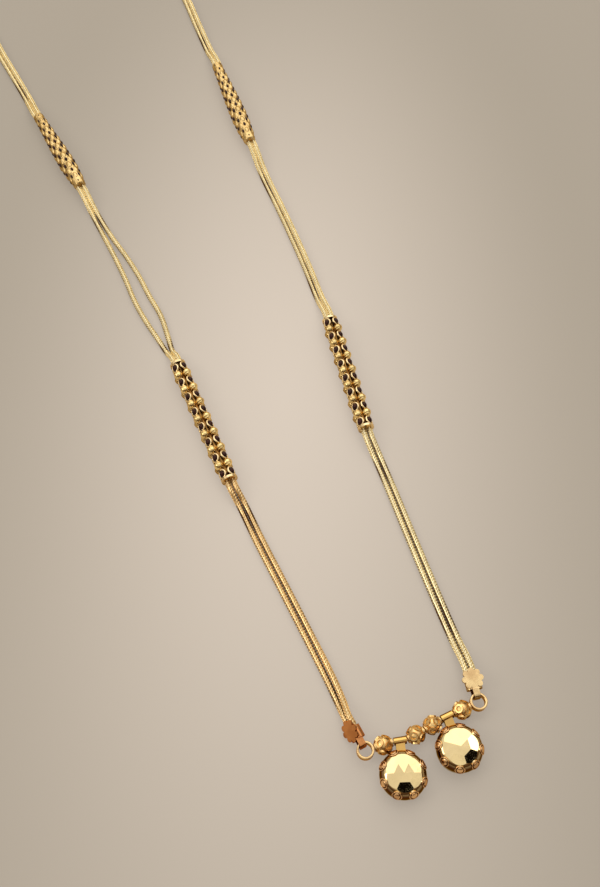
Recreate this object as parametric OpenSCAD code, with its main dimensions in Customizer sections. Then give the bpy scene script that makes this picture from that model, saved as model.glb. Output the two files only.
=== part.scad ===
// A long two-strand necklace lying on a flat surface, pendants towards -Y and clasp at +Y.
// Millimetres. The surface is z = 0 and the origin is under the middle of the whole loop.

/* [Cup pendants] */
// Diameter of a cup at its widest
cup_d = 11.8; // [11:0.1:12]
// Diameter of a cup's open rim
rim_d = 11; // [10.2:0.1:11]
// Height at which a cup is widest
cup_waist = 2.7; // [2.4:0.1:3.2]
// Radius of the rounded shoulder
shoulder_r = 2.8; // [2.5:0.1:3]
// Wall of a cup
cup_wall = 0.45; // [0.4:0.05:0.6]
// Rise of the crown above the shoulder before it is cut
crown_rise = 0.6; // [0.5:0.05:0.7]
// Height of the six-sided table cut on top
table_h = 5.6; // [5.55:0.01:5.65]
// Radius of the table, corner to centre
table_r = 2.5; // [2:0.1:2.6]
// Slope of the six faces cut round the table, in degrees
cut_slope = 12; // [11:0.5:14]
// Height of the low point in the middle of the table
peak_rise = 0.15; // [0.1:0.05:0.3]
// Domed bosses round the shoulder
boss_count = 8; // [6:1:8]
// Diameter of a boss
boss_d = 2.7; // [2.2:0.1:2.8]
// How far a boss stands out of the shoulder
boss_rise = 0.18; // [0.1:0.02:0.3]
// Width of the raised rim of a boss
boss_rim = 0.3; // [0.2:0.05:0.4]
// Steepness of the shoulder where the bosses sit, in degrees above level
boss_lift = 32; // [30:1:36]
// Length of the neck between cup and bail
neck_len = 1.4; // [1.3:0.1:2]
// Width of the neck at its narrowest
neck_w = 2.3; // [2:0.1:2.6]
// Width of the neck where it meets the cup
neck_foot_w = 4.2; // [3.6:0.1:4.6]
// Thickness of the neck
neck_t = 1.3; // [1:0.1:1.8]
// Turn of each cup about its bail, left and right, in degrees towards -X
cup_swing = [21, 6];
// Turn of each cup's table cut about the cup's middle, left and right, in degrees
cut_turn = [0, 27];

/* [Bar] */
// Diameter of a carved bead's round core
bead_core_d = 4.3; // [4:0.1:4.6]
// Length of a carved bead along the wire
bead_len = 4.7; // [4.6:0.1:5.2]
// Diameter of a carved bead's end collars
collar_d = 2.2; // [2:0.1:2.6]
// Diameter of a raised ring on a bead
disc_d = 2.2; // [1.8:0.1:2.3]
// Width of a raised ring's rim
disc_rim = 0.4; // [0.3:0.05:0.5]
// Height of a raised ring above the bead's core
disc_rise = 0.1; // [0.05:0.01:0.2]
// Rings in each of the two rows round a bead
discs_per_row = 4; // [3:1:4]
// Slant of each row of rings from the bead's middle, in degrees
disc_slant = 30; // [28:1:36]
// Diameter of a bail tube
bail_d = 2; // [1.8:0.1:2.4]
// Length of a bail tube
bail_len = 3.2; // [2.8:0.1:3.6]
// Diameter of the stringing wire
wire_d = 0.8; // [0.6:0.05:1]
// Room between the ends of the pieces on the bar
strung_gap = 0.4; // [0.4:0.02:0.6]
// Clearance between the stringing wire and the bores on it
wire_gap = 0.2; // [0.12:0.02:0.25]
// Outer diameter of a band ring
ring_d = 4.5; // [4.3:0.1:5]
// Wall of a band ring
ring_wall = 0.6; // [0.5:0.05:0.7]
// Height of a band ring
ring_h = 2; // [1.4:0.1:2.2]

/* [Flower caps] */
// Radius of the flower plate's middle, where the petals are centred
flower_r = 2.05; // [1.8:0.05:2.3]
// Radius of a petal
petal_r = 0.8; // [0.7:0.05:0.9]
// Petals round a flower plate
petals = 8; // [6:1:9]
// Thickness of a flower plate
flower_t = 0.5; // [0.4:0.05:0.7]
// Width of a collar that holds two strand ends
cap_w = 4.2; // [3.8:0.1:4.6]
// Height of a collar
cap_h = 2.4; // [2.2:0.1:2.8]
// Length of a collar
cap_len = 3.2; // [2.6:0.1:3.6]
// Width of the flat loop
loop_w = 1.7; // [1.4:0.1:1.8]
// Thickness of the flat loop's metal
loop_t = 0.4; // [0.3:0.05:0.45]
// Clearance between a loop or hook and what it holds
link_gap = 0.2; // [0.15:0.01:0.3]

/* [Strands] */
// Thickness of one chain strand
strand_d = 1.66; // [1.5:0.02:1.8]
// Gap between pieces that lie together
gap = 0.12; // [0.1:0.01:0.2]

/* [Bead tubes] */
// Radius at which the four strings of a lower tube lie
string_r = 1.95; // [1.95:0.05:2.2]
// Beads on each string of a lower tube
rows = 15; // [13:2:15]
// Diameter of a black bead
black_d = 2.1; // [1.6:0.1:2.2]
// Diameter of a gold bead
gold_d = 2.6; // [2.2:0.1:2.6]
// Diameter of the threading wires
thread_d = 0.5; // [0.4:0.05:0.6]
// Clearance between a threading wire and a bead's bore
thread_gap = 0.11; // [0.1:0.01:0.15]
// Thickness of a lower tube's end discs
end_disc_t = 0.7; // [0.5:0.1:1]
// Greatest diameter of an upper tube
upper_d = 6; // [5.6:0.1:6.4]

/* [Clasp] */
// Wire thickness of the clasp's rings
eye_d = 0.8; // [0.6:0.1:0.9]
// Inner radius of the clasp's rings
eye_r = 1.3; // [1.2:0.05:1.6]
// Wire thickness of the hook
hook_d = 1; // [0.8:0.05:1.1]
// Inner radius of each half of the hook
hook_r = 1.4; // [1.3:0.05:1.7]

/* [Hidden] */
$fn = 64;

gold = [0.86, 0.66, 0.3];
pale_gold = [0.88, 0.74, 0.42];
chain_gold = [0.8, 0.66, 0.33];
black = [0.07, 0.04, 0.04];

OUTER = -1;
INNER = 1;

// Where the necklace lies, each place chosen from the photograph
ring_left = [-20.4, -167.2];
cap_heading = [95, 78];
cap_tilt = [58, 0];
lower_tube_left = [[-24.4, -82.5], [-24.8, -37.5]];
lower_tube_right = [[19.7, -82.2], [26.3, -40.2]];
upper_tube_left = [[-31.3, 48.5], [-35.8, 89.5]];
upper_tube_right = [[32.9, 46], [36.4, 90.5]];
back_side_x = 40.3;
back_y = 180;
back_turn_r = 25;

// What is strung on the bar from left to right, and the way each piece points
BEAD = 0;
BAIL = 1;
strung = [[BEAD, -6], [BAIL, -14], [BEAD, 4], [BEAD, 8], [BAIL, 2], [BEAD, -1]];
ring_right_turn = 3;

// The middle of each pair of strands: x, y, how far each strand bows out, and how far the pair is rolled
left_lower_route = [
    [-21, -154, 0, 38], [-21, -147, 0, 16], [-21.6, -134, 0, 0], [-22.5, -118, 0, 0], [-23.4, -102, 0, 0],
    [-23.8, -90, 0, 0]
];
right_lower_route = [
    [14.2, -150, 0, 0], [15.4, -134, 0, 0], [16.8, -118, 0, 0], [18.2, -103, 0, 0], [19.1, -92, 0, 0]
];
left_middle_route = [
    [-25.3, -31, 0, 0], [-25.5, -25, 0.7, 0], [-25.9, -16, 1.7, 0], [-26.7, -7, 1.7, 0], [-27, 3, 1.4, 0],
    [-27.8, 13, 0.9, 0], [-29, 23, 0.3, 0], [-30.2, 36, 0, 0]
];
right_middle_route = [
    [27.4, -30, 0, 20], [28.8, -16, 0, 30], [29.9, -2, 0, 30], [30.8, 13, 0, 30], [31.8, 32, 0, 20]
];
left_back_route = [[-36.5, 102, 0, 10], [-38.3, 120, 0, 20], [-39.7, 134, 0, 20]];
right_back_route = [[37.2, 102, 0, 20], [38.4, 120, 0, 30], [39.6, 134, 0, 20]];
turn_step = 15;

// Radius of an upper tube along its length, as shares of its length and of its greatest radius
upper_shape = [[0, 0.62], [0.12, 0.87], [0.3, 1], [0.5, 0.93], [0.75, 0.75], [1, 0.58]];

sweep_sides = 8;
boss_dish = 0.14;
boss_dome_r = 1.25;
boss_dome_rise = 0.2;
neck_notch_r = 1;
ring_round = 0.2;
strand_out = 3;
cut = 1;

disc_top = bead_core_d / 2 + disc_rise;
bar_z = norm([disc_top, disc_d / 2]);
wire_bore_d = wire_d + 2 * wire_gap;
ring_in_r = ring_d / 2 - ring_wall;
cup_in = cup_d / 2 - shoulder_r;
cup_reach = cup_d / 2 + neck_len + bail_d / 2;
pair_off = (strand_d + gap) / 2;
lower_tube_z = string_r * sin(45) + gold_d / 2;
upper_tube_z = upper_d / 2;
back_z = eye_r + eye_d;
end_disc_d = 2 * (string_r + thread_d);

// The flat loop starts inside the band ring and ends in the collar
loop_near = sqrt(ring_in_r * ring_in_r - loop_w * loop_w / 4) - link_gap;
loop_far = ring_d / 2 + 3 * link_gap + loop_t;
loop_h = ring_h + 2 * link_gap;
collar_at = loop_far;
cap_reach = collar_at + cap_len;
flower_at = cap_reach - gap - flower_r / 4;

// The hook's halves meet in the middle, and each ring hangs in one of them
hook_mid_r = hook_r + hook_d / 2;
eye_mid_r = eye_r + eye_d / 2;
eye_at = 2 * hook_mid_r - hook_d / 2 - link_gap - eye_d / 2 + eye_mid_r;
clasp_reach = eye_at + eye_mid_r + cap_len - eye_d / 2;
clasp_y = back_y - gap;

function heading(a) = [cos(a), sin(a)];
function unit(v) = v / norm(v);
function strung_len(i) = (strung[i][0] == BEAD ? bead_len : bail_len) + strung_gap;
// The points where two strung pieces meet, from the left band ring to the right one
function joint(i) = i == 0
    ? ring_left + (ring_d / 2) * heading(strung[0][1])
    : joint(i - 1) + strung_len(i - 1) * heading(strung[i - 1][1]);
function strung_at(i) = joint(i) + (strung_len(i) / 2) * heading(strung[i][1]);
ring_right = joint(len(strung)) + (ring_d / 2) * heading(ring_right_turn);

// One row of a pair's route: middle point, bow and roll
function lying(row) =
    [[row[0], row[1], strand_d / 2 + (pair_off + row[2]) * abs(sin(row[3]))], row[2], row[3]];
// Two rows that lead a pair straight out of the piece that it ends in
function lead(at, out, z, roll) =
    [for (d = [gap, strand_out]) [[at.x + d * out.x, at.y + d * out.y, z], 0, roll]];
function turned(list) = [for (i = [len(list) - 1:-1:0]) list[i]];
function way(route, i) =
    unit(route[min(i + 1, len(route) - 1)][0] - route[max(i - 1, 0)][0]);
// The middle line of one strand of a pair: OUTER or INNER on the left side, the other way on the right
function strand_line(route, side) = [
    for (i = [0:len(route) - 1])
        let (t = way(route, i), across = unit([t.y, -t.x, 0]), roll = route[i][2])
        route[i][0] + side * (pair_off + route[i][1]) * (cos(roll) * across + sin(roll) * [0, 0, 1])
];

function cap_end(at, turn) = at + (cap_reach) * heading(turn);
function lower_pair(ring, turn, roll, middle, tube) = concat(
    lead(cap_end(ring, turn), heading(turn), bar_z, roll),
    [for (row = middle) lying(row)],
    turned(lead(tube[0], unit(tube[0] - tube[1]), lower_tube_z, 0))
);
function middle_pair(low, middle, high) = concat(
    lead(low[1], unit(low[1] - low[0]), lower_tube_z, 0),
    [for (row = middle) lying(row)],
    turned(lead(high[0], unit(high[0] - high[1]), upper_tube_z, 0))
);
function back_pair(high, middle, side) = concat(
    lead(high[1], unit(high[1] - high[0]), upper_tube_z, 0),
    [for (row = middle) lying(row)],
    [for (a = [0:turn_step:90])
        lying([
            side * (back_side_x - back_turn_r * (1 - cos(a))), back_y - back_turn_r * (1 - sin(a)), 0, 0
        ])],
    turned(lead([side * clasp_reach, clasp_y], [side, 0], back_z, 0))
);

// A round wire of diameter d along the points of line
module swept(line, d) {
    n = len(line);
    rings = [
        for (i = [0:n - 1])
            let (
                t = unit(line[min(i + 1, n - 1)] - line[max(i - 1, 0)]),
                across = unit(cross(t, [0, 0, 1])),
                up = cross(across, t)
            )
            for (k = [0:sweep_sides - 1])
                let (a = 360 * k / sweep_sides)
                line[i] + (d / 2) * (cos(a) * across + sin(a) * up)
    ];
    skin = [
        for (i = [0:n - 2])
            for (k = [0:sweep_sides - 1])
                let (a = i * sweep_sides + k, b = i * sweep_sides + (k + 1) % sweep_sides)
                each [[a, b, b + sweep_sides], [a, b + sweep_sides, a + sweep_sides]]
    ];
    ends = [
        [for (k = [sweep_sides - 1:-1:0]) k],
        [for (k = [0:sweep_sides - 1]) (n - 1) * sweep_sides + k]
    ];
    polyhedron(points = rings, faces = concat(skin, ends), convexity = 10);
}

module strand(route, side) {
    color(chain_gold) swept(strand_line(route, side), strand_d);
}

module round_rect(size, r) {
    square([size.x, size.y - 2 * r], center = true);
    square([size.x - 2 * r, size.y], center = true);
    for (x = [-1, 1], y = [-1, 1])
        translate([x * (size.x / 2 - r), y * (size.y / 2 - r)]) circle(r);
}

module round_box(size, r, h) {
    linear_extrude(h) round_rect(size, r);
}

// Half outline of a cup, set in from its outside
module cup_outline(inset, foot) {
    waist_r = cup_d / 2 - inset;
    polygon([[0, foot], [rim_d / 2 - inset, foot], [waist_r, cup_waist], [0, cup_waist]]);
    translate([0, cup_waist - inset]) square([cup_in, shoulder_r]);
    intersection() {
        translate([cup_in, cup_waist]) circle(shoulder_r - inset);
        translate([cup_in / 2, cup_waist - cut / 2]) square(cup_d);
    }
}

// The crown on the shoulder: the top of a large ball
module crown() {
    crown_r = (cup_in * cup_in + crown_rise * crown_rise) / (2 * crown_rise);
    shoulder_top = cup_waist + shoulder_r;
    intersection() {
        translate([0, 0, shoulder_top + crown_rise - crown_r]) sphere(crown_r);
        translate([0, 0, shoulder_top - cup_wall / 2]) cylinder(r = cup_in, h = 2 * crown_rise + cup_wall);
    }
}

// What the six faces and the table leave standing
module cut_form() {
    drop = table_h - cup_waist;
    foot_r = table_r + drop / tan(cut_slope) / cos(30);
    translate([0, 0, cup_waist]) cylinder(r1 = foot_r, r2 = table_r, h = drop, $fn = 6);
    cylinder(r = foot_r, h = cup_waist, $fn = 6);
}

module at_bosses() {
    for (k = [0:boss_count - 1])
        rotate([0, 0, (k + 0.5) * 360 / boss_count + 90]) translate([cup_in, 0, cup_waist])
            rotate([0, 90 - boss_lift, 0]) children();
}

// Round bosses that follow the shoulder: a raised rim with a low dome inside
module bosses() {
    difference() {
        intersection() {
            rotate_extrude() cup_outline(-boss_rise, 0);
            at_bosses() cylinder(d = boss_d, h = 2 * shoulder_r);
        }
        difference() {
            at_bosses() cylinder(d = boss_d - 2 * boss_rim, h = 2 * shoulder_r + cut);
            rotate_extrude() cup_outline(boss_dish - boss_rise, 0);
        }
    }
    at_bosses() translate([0, 0, shoulder_r + boss_rise - boss_dish + boss_dome_rise - boss_dome_r])
        sphere(boss_dome_r);
}

// The neck is notched on both sides and lies between y = 0, inside the cup, and its end in the bail
module neck() {
    start = cup_d / 2 - 2 * cup_wall;
    translate([0, 0, bar_z - neck_t / 2]) difference() {
        translate([-neck_foot_w / 2, start, 0]) cube([neck_foot_w, cup_reach - start, neck_t]);
        for (side = [-1, 1])
            translate([side * (neck_w / 2 + neck_notch_r), cup_reach - bail_d / 2 - neck_notch_r, -cut])
                cylinder(r = neck_notch_r, h = neck_t + 2 * cut);
        for (side = [-1, 1])
            translate([side * (neck_w / 2 + 2 * neck_notch_r), cup_reach, neck_t / 2])
                cube([4 * neck_notch_r, bail_d + 2 * neck_notch_r, neck_t + 2 * cut], center = true);
    }
}

// A cup with its neck towards +Y, its bail turned by skew about its own middle and its table cut by turn
module cup_pendant(skew, turn) {
    color(gold) difference() {
        union() {
            intersection() {
                union() {
                    rotate_extrude() cup_outline(0, 0);
                    crown();
                }
                rotate([0, 0, turn]) cut_form();
            }
            rotate([0, 0, turn]) {
                translate([0, 0, table_h - peak_rise]) cylinder(r = table_r / 2, h = peak_rise, $fn = 6);
                translate([0, 0, table_h]) cylinder(r1 = table_r, r2 = 0, h = peak_rise, $fn = 6);
            }
            bosses();
            neck();
            translate([0, cup_reach, bar_z]) rotate([0, 90, skew])
                cylinder(d = bail_d, h = bail_len, center = true);
        }
        rotate_extrude() cup_outline(cup_wall, -cut);
        translate([0, cup_reach, bar_z]) rotate([0, 90, skew])
            cylinder(d = wire_bore_d, h = bail_len + 2 * cut, center = true);
    }
}

module hung_cup(i, swing, turn) {
    translate([strung_at(i).x, strung_at(i).y, 0]) rotate([0, 0, -swing])
        translate([0, -cup_reach, 0]) cup_pendant(strung[i][1] + swing, turn);
}

module vati_left() { hung_cup(1, cup_swing[0], cut_turn[0]); }
module vati_right() { hung_cup(4, cup_swing[1], cut_turn[1]); }

// A raised ring that starts inside the core, which domes up in its middle
module disc() {
    foot = bead_core_d * 3 / 8;
    translate([0, 0, foot]) difference() {
        cylinder(d = disc_d, h = disc_top - foot);
        translate([0, 0, -cut]) cylinder(d = disc_d - 2 * disc_rim, h = disc_top + cut);
    }
}

// A carved bead in place i on the bar, turned about the wire by roll
module carved_bead(i, roll) {
    color(pale_gold) translate([strung_at(i).x, strung_at(i).y, bar_z]) rotate([0, 0, strung[i][1]])
        rotate([roll, 0, 0]) difference() {
            union() {
                rotate([0, 90, 0]) {
                    sphere(d = bead_core_d);
                    cylinder(d = collar_d, h = bead_len, center = true);
                }
                for (row = [-1, 1], k = [0:discs_per_row - 1])
                    rotate([(k + row / 4) * 360 / discs_per_row, 0, 0]) rotate([0, row * disc_slant, 0])
                        disc();
            }
            rotate([0, 90, 0]) cylinder(d = wire_bore_d, h = bead_len + 2 * cut, center = true);
        }
}

module bead_1() { carved_bead(0, 10); }
module bead_2() { carved_bead(2, 35); }
module bead_3() { carved_bead(3, -20); }
module bead_4() { carved_bead(5, 15); }

module band_ring(at) {
    translate([at.x, at.y, bar_z]) rotate_extrude()
        translate([(ring_d - ring_wall) / 2, 0]) round_rect([ring_wall, ring_h], ring_round);
}

module bar_wire() {
    last = len(strung);
    into_ring = ring_wall / 2;
    ends = [
        joint(0) - into_ring * heading(strung[0][1]),
        joint(last) + into_ring * heading(ring_right_turn)
    ];
    run = concat([ends[0]], [for (i = [1:last]) joint(i)], [ends[1]]);
    color(gold) {
        band_ring(ring_left);
        band_ring(ring_right);
        swept([for (p = run) [p.x, p.y, bar_z]], wire_d);
    }
}

// The flat loop, upright, from inside the band ring at the origin to the collar
module flat_loop() {
    long = loop_far - loop_near + loop_t;
    middle = loop_near + long / 2;
    translate([-loop_w / 2, middle, 0]) rotate([90, 0, 90]) difference() {
        round_box([long + 2 * loop_t, loop_h + 2 * loop_t], 2 * loop_t, loop_w);
        translate([0, 0, -cut]) round_box([long, loop_h], loop_t, loop_w + 2 * cut);
    }
}

module collar(at) {
    translate([0, at + cap_len, 0]) rotate([90, 0, 0])
        round_box([cap_w, cap_h], cap_h / 2 - gap, cap_len);
}

module flower_plate() {
    linear_extrude(flower_t) {
        circle(flower_r);
        for (k = [0:petals - 1]) rotate(k * 360 / petals) translate([flower_r, 0]) circle(petal_r);
    }
}

module flower_cap(ring, turn, tilt) {
    color(gold) translate([ring.x, ring.y, bar_z]) rotate([0, 0, turn - 90]) {
        flat_loop();
        rotate([0, -tilt, 0]) {
            collar(collar_at);
            translate([0, flower_at, cap_h / 2 - gap]) flower_plate();
        }
    }
}

module flower_cap_left() { flower_cap(ring_left, cap_heading[0], cap_tilt[0]); }
module flower_cap_right() { flower_cap(ring_right, cap_heading[1], cap_tilt[1]); }

left_lower = lower_pair(ring_left, cap_heading[0], cap_tilt[0], left_lower_route, lower_tube_left);
right_lower = lower_pair(ring_right, cap_heading[1], cap_tilt[1], right_lower_route, lower_tube_right);
left_middle = middle_pair(lower_tube_left, left_middle_route, upper_tube_left);
right_middle = middle_pair(lower_tube_right, right_middle_route, upper_tube_right);
left_back = back_pair(upper_tube_left, left_back_route, -1);
right_back = back_pair(upper_tube_right, right_back_route, 1);

// A lower tube's own frame: its length runs along +Y from the end nearest the pendants
module along_tube(tube, z) {
    run = tube[1] - tube[0];
    translate([tube[0].x, tube[0].y, z]) rotate([0, 0, atan2(run.y, run.x) - 90]) children();
}

module at_strings() {
    for (a = [45:90:315]) rotate([0, a, 0]) translate([string_r, 0, 0]) children();
}

module tube_frame(tube) {
    long = norm(tube[1] - tube[0]);
    color(gold) along_tube(tube, lower_tube_z) rotate([-90, 0, 0]) {
        cylinder(d = end_disc_d, h = end_disc_t);
        translate([0, 0, long - end_disc_t]) cylinder(d = end_disc_d, h = end_disc_t);
        for (a = [45:90:315])
            rotate([0, 0, a]) translate([string_r, 0, end_disc_t / 2])
                cylinder(d = thread_d, h = long - end_disc_t);
    }
}

// Every second bead of each string, starting from the one numbered first
module tube_beads(tube, first, bead_d) {
    free = norm(tube[1] - tube[0]) - 2 * end_disc_t;
    pitch = free / rows;
    along_tube(tube, lower_tube_z) at_strings()
        for (row = [first:2:rows - 1])
            translate([0, end_disc_t + (row + 0.5) * pitch, 0]) difference() {
                sphere(d = bead_d);
                rotate([90, 0, 0]) cylinder(d = thread_d + 2 * thread_gap, h = 2 * bead_d, center = true);
            }
}

module left_tube_frame() { tube_frame(lower_tube_left); }
module right_tube_frame() { tube_frame(lower_tube_right); }
module left_black_beads() { color(black) tube_beads(lower_tube_left, 0, black_d); }
module right_black_beads() { color(black) tube_beads(lower_tube_right, 0, black_d); }
module left_gold_beads() { color(gold) tube_beads(lower_tube_left, 1, gold_d); }
module right_gold_beads() { color(gold) tube_beads(lower_tube_right, 1, gold_d); }

module upper_tube(tube) {
    long = norm(tube[1] - tube[0]);
    color(pale_gold) along_tube(tube, upper_tube_z) rotate([-90, 0, 0]) rotate_extrude()
        polygon(concat(
            [[0, 0]], [for (p = upper_shape) [p[1] * upper_d / 2, p[0] * long]], [[0, long]]
        ));
}

module left_upper_tube() { upper_tube(upper_tube_left); }
module right_upper_tube() { upper_tube(upper_tube_right); }

// The hidden clasp lies along X at the back of the loop
module back_cap(side) {
    color(gold) translate([0, clasp_y, back_z]) rotate([0, 0, -90 * side]) {
        translate([0, eye_at, 0]) rotate([0, 90, 0]) rotate_extrude()
            translate([eye_mid_r, 0]) circle(d = eye_d, $fn = 24);
        collar(eye_at + eye_mid_r - eye_d / 2);
    }
}

module back_cap_left() { back_cap(-1); }
module back_cap_right() { back_cap(1); }

module clasp_hook() {
    sweep = 285;
    color(gold) translate([0, clasp_y, back_z]) for (turn = [0, 180]) rotate([0, 0, turn])
        translate([hook_mid_r, 0, 0]) rotate([0, 0, 180]) {
            rotate_extrude(angle = sweep) translate([hook_mid_r, 0]) circle(d = hook_d, $fn = 24);
            rotate([0, 0, sweep]) translate([hook_mid_r, 0, 0]) sphere(d = hook_d, $fn = 24);
        }
}

vati_left();
vati_right();
bead_1();
bead_2();
bead_3();
bead_4();
bar_wire();
flower_cap_left();
flower_cap_right();
strand(left_lower, OUTER);  // left_outer_lower_strand
strand(left_lower, INNER);  // left_inner_lower_strand
strand(right_lower, -INNER);  // right_inner_lower_strand
strand(right_lower, -OUTER);  // right_outer_lower_strand
strand(left_middle, OUTER);  // left_outer_middle_strand
strand(left_middle, INNER);  // left_inner_middle_strand
strand(right_middle, -INNER);  // right_inner_middle_strand
strand(right_middle, -OUTER);  // right_outer_middle_strand
strand(left_back, OUTER);  // left_outer_back_strand
strand(left_back, INNER);  // left_inner_back_strand
strand(right_back, -INNER);  // right_inner_back_strand
strand(right_back, -OUTER);  // right_outer_back_strand
left_tube_frame();
left_black_beads();
left_gold_beads();
right_tube_frame();
right_black_beads();
right_gold_beads();
left_upper_tube();
right_upper_tube();
back_cap_left();
back_cap_right();
clasp_hook();
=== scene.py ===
"""The looks of a long two-strand gold necklace that lies on a flat surface.

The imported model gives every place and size. The cups, the bar's carved beads and the fittings keep its
solids and get their finish here; the woven chains and the bead tubes are modelled around it. A piece's own
sizes are in millimetres; places, and the whole studio, are in metres.
"""
import logging
import math
from contextlib import contextmanager
from dataclasses import dataclass, replace
from enum import Enum
from typing import Callable, Iterator, Sequence

import bmesh
import bpy
import numpy as np
from mathutils import Matrix, Vector

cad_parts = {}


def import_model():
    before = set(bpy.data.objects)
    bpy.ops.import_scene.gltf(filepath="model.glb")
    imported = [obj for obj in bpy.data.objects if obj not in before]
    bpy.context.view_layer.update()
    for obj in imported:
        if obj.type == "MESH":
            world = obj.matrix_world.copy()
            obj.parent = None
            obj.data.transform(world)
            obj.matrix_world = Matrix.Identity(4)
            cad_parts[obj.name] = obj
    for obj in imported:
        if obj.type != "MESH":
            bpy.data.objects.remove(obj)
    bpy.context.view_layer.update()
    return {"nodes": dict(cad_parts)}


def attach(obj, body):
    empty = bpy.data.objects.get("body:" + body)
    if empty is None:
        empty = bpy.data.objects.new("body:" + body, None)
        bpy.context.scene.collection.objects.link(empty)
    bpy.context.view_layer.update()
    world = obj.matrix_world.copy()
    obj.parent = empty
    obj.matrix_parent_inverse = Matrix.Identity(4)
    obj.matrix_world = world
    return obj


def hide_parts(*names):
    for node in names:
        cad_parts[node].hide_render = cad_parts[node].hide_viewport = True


LOG = logging.getLogger("necklace")
BODY = "root"
MM = 0.001
SAME_PLACE = 0.001 * MM
SHARP_EDGE = math.radians(50.0)
UP = Vector((0.0, 0.0, 1.0))
# Point attribute holding the distance to the strand beside, read for the painted shade in the groove.
GROOVE = "beside"
MIX_INPUTS = (0, 6, 7)
MIX_RESULT = 2
Piece = bpy.types.Object
Socket = bpy.types.NodeSocket
Colour = tuple[float, float, float]
Point = tuple[float, float, float]
Range = tuple[float, float]
Faces = tuple[int, int]


class Slot(Enum):
    """The record's material slots."""

    POLISHED = "polished_gold"
    CARVED = "carved_gold"
    CHAIN = "chain_gold"
    WIRE = "wire_gold"
    BLACK = "black_bead"


class Side(Enum):
    """The two sides of the loop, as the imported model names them."""

    LEFT = "left"
    RIGHT = "right"


def deselect() -> None:
    """Leave nothing selected and no object in edit mode."""
    if bpy.context.mode != "OBJECT":
        bpy.ops.object.mode_set(mode="OBJECT")
    bpy.ops.object.select_all(action="DESELECT")


def activate(piece: Piece) -> None:
    """Select one object alone and make it the active one.

    Args:
        piece: The object that the next operator works on.
    """
    deselect()
    piece.select_set(True)
    bpy.context.view_layer.objects.active = piece


@contextmanager
def edit_mode() -> Iterator[None]:
    """Hold the active object in edit mode, selected all over."""
    bpy.ops.object.mode_set(mode="EDIT")
    bpy.ops.mesh.select_all(action="SELECT")
    yield
    bpy.ops.object.mode_set(mode="OBJECT")


def apply_modifier(piece: Piece, kind: str, **settings: object) -> None:
    """Add a modifier, set it up and apply it.

    Args:
        piece: The object to change.
        kind: Blender's name for the modifier's type.
        **settings: The modifier's own values.
    """
    activate(piece)
    modifier = piece.modifiers.new(kind.lower(), kind)
    for name, value in settings.items():
        setattr(modifier, name, value)
    bpy.ops.object.modifier_apply(modifier=modifier.name)


def reshape(piece: Piece, move: Callable[[Vector], Vector]) -> None:
    """Move each vertex of a mesh by a rule.

    Args:
        piece: The object to change.
        move: Gives a vertex's new place from its old one.
    """
    for vertex in piece.data.vertices:
        vertex.co = move(vertex.co.copy())
    piece.data.update()


def linked(name: str, data: bpy.types.ID) -> Piece:
    """Make an object of its data and put it in the scene.

    Args:
        name: The object's name.
        data: Its mesh, curve, lamp or camera.

    Returns:
        The new object.
    """
    piece = bpy.data.objects.new(name, data)
    bpy.context.scene.collection.objects.link(piece)
    return piece


def discard(piece: Piece) -> None:
    """Delete an object that has done its work."""
    bpy.data.objects.remove(piece)


def ball(size: Point, faces: Faces, lying: bool = True) -> Piece:
    """Model a ball that is drawn out to a size.

    Args:
        size: Its length, width and height.
        faces: How many faces it has round its poles, and how many from pole to pole.
        lying: Whether its poles are the ends of its length, where a bead is drilled.

    Returns:
        The ball, at the origin.
    """
    deselect()
    bpy.ops.mesh.primitive_uv_sphere_add(segments=faces[0], ring_count=faces[1], radius=0.5 * MM,
                                         rotation=(0.0, math.pi / 2 if lying else 0.0, 0.0))
    bpy.ops.object.transform_apply(location=False, rotation=True, scale=False)
    with edit_mode():
        bpy.ops.transform.resize(value=size)
    return bpy.context.object


def ring(radius: float, wire: float, faces: Faces, **pose: object) -> Piece:
    """Model a plain ring of wire.

    Args:
        radius: The radius of the wire's middle line.
        wire: The wire's width.
        faces: How many faces it has round the ring, and how many round the wire.
        **pose: Where it goes and how it turns, as a primitive takes it.

    Returns:
        The ring, with its pose in its mesh.
    """
    deselect()
    bpy.ops.mesh.primitive_torus_add(major_radius=radius * MM, minor_radius=wire / 2 * MM,
                                     major_segments=faces[0], minor_segments=faces[1], **pose)
    bpy.ops.object.transform_apply(location=True, rotation=True, scale=False)
    return bpy.context.object


def soften(piece: Piece, width: float, steps: int) -> None:
    """Round a piece's sharp edges, and shade all but them smooth.

    Args:
        piece: The object to change.
        width: The rounding's width.
        steps: How many faces it has across.
    """
    apply_modifier(piece, "BEVEL", width=width * MM, segments=steps, limit_method="ANGLE",
                   angle_limit=SHARP_EDGE)
    bpy.ops.object.shade_smooth_by_angle(angle=SHARP_EDGE)


def scattered(name: str, master: Piece, places: Sequence[Matrix]) -> Piece:
    """Copy a modelled piece to many places as one joined mesh, and delete the master.

    Args:
        name: The new object's name.
        master: The piece that was modelled once.
        places: One transform for each copy.

    Returns:
        The joined object, at the origin.
    """
    joined = bmesh.new()
    for place in places:
        copy = master.data.copy()
        copy.transform(place)
        joined.from_mesh(copy)
        bpy.data.meshes.remove(copy)
    discard(master)
    mesh = bpy.data.meshes.new(name)
    joined.to_mesh(mesh)
    joined.free()
    for polygon in mesh.polygons:
        polygon.use_smooth = True
    return linked(name, mesh)


def merged(name: str, parts: Sequence[Piece]) -> Piece:
    """Join several objects into one.

    Args:
        name: The joined object's name.
        parts: The objects to join; the first one stays.

    Returns:
        The joined object.
    """
    activate(parts[0])
    for part in parts[1:]:
        part.select_set(True)
    bpy.ops.object.join()
    parts[0].name = name
    return parts[0]


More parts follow.
